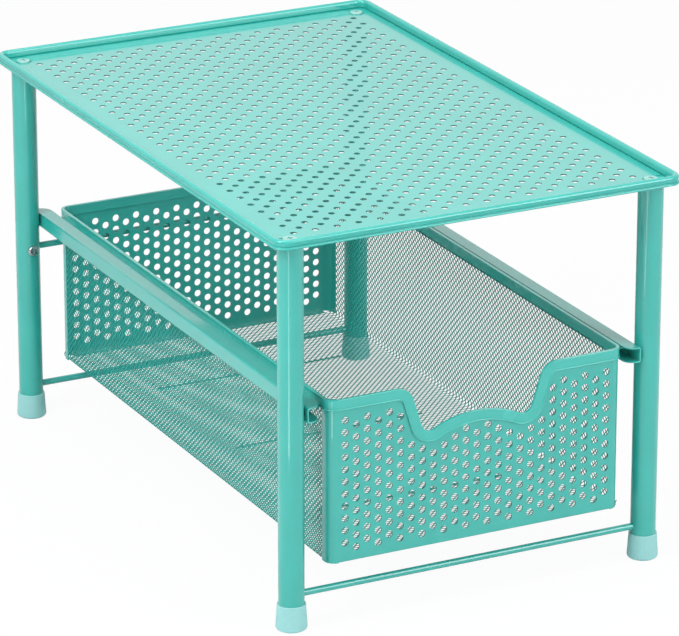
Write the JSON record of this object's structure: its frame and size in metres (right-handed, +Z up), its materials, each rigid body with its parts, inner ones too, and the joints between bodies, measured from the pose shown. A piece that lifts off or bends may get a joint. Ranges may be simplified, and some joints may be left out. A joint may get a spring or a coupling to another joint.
{
  "type": "under sink organizer",
  "caption": "Two-tier organizer: a perforated shelf with a raised rim on tube legs over a sliding mesh drawer with a dipped front.",
  "frame": {"origin": "bottom centre of the organizer, on the surface its feet stand on", "axes": "+Z up, +Y from the drawer's front towards the rear, +X to the right seen from the front"},
  "size_m": [0.2924, 0.4514, 0.2693],
  "materials": {
    "shelf_sheet": "glossy powder coat",
    "shelf_rim": "glossy powder coat",
    "coated_screw": "coated screw head",
    "insert_plastic": "moulded",
    "leg_tube": "glossy powder coat",
    "foot_plastic": "moulded, satin",
    "rod": "glossy powder coat",
    "rail": "glossy powder coat",
    "chrome_screw": "plated",
    "drawer_sheet": "glossy powder coat",
    "drawer_band": "glossy powder coat",
    "mesh": "powder coat",
    "runner": "glossy powder coat"
  },
  "bodies": {
    "frame": {"crossbar_front": "rod", "crossbar_rear": "rod", "crossbar_rear_upper": "rod", "foot_front_left": "foot_plastic", "foot_front_right": "foot_plastic", "foot_rear_left": "foot_plastic", "foot_rear_right": "foot_plastic", "leg_front_left": "leg_tube", "leg_front_right": "leg_tube", "leg_rear_left": "leg_tube", "leg_rear_right": "leg_tube", "leg_top_inserts": "insert_plastic", "rail_anchors": "insert_plastic", "rail_left": "rail", "rail_right": "rail", "rail_screws": "chrome_screw", "shelf_panel": "shelf_sheet", "shelf_rim": "shelf_rim", "shelf_screws": "coated_screw"},
    "drawer": {"drawer_floor_wires": "rod", "drawer_front_panel": "drawer_sheet", "drawer_front_rim": "drawer_band", "drawer_mesh_floor": "mesh", "drawer_mesh_left": "mesh", "drawer_mesh_right": "mesh", "drawer_rear_panel": "drawer_sheet", "drawer_rear_rim": "drawer_band", "drawer_rim_left": "drawer_band", "drawer_rim_right": "drawer_band", "drawer_runner_left": "runner", "drawer_runner_right": "runner"}
  },
  "joints": [
    {"name": "drawer_slide", "type": "slide", "parent": "frame", "child": "drawer", "axis": [0, -1, 0], "range_m": [0, 0.3]}
  ]
}
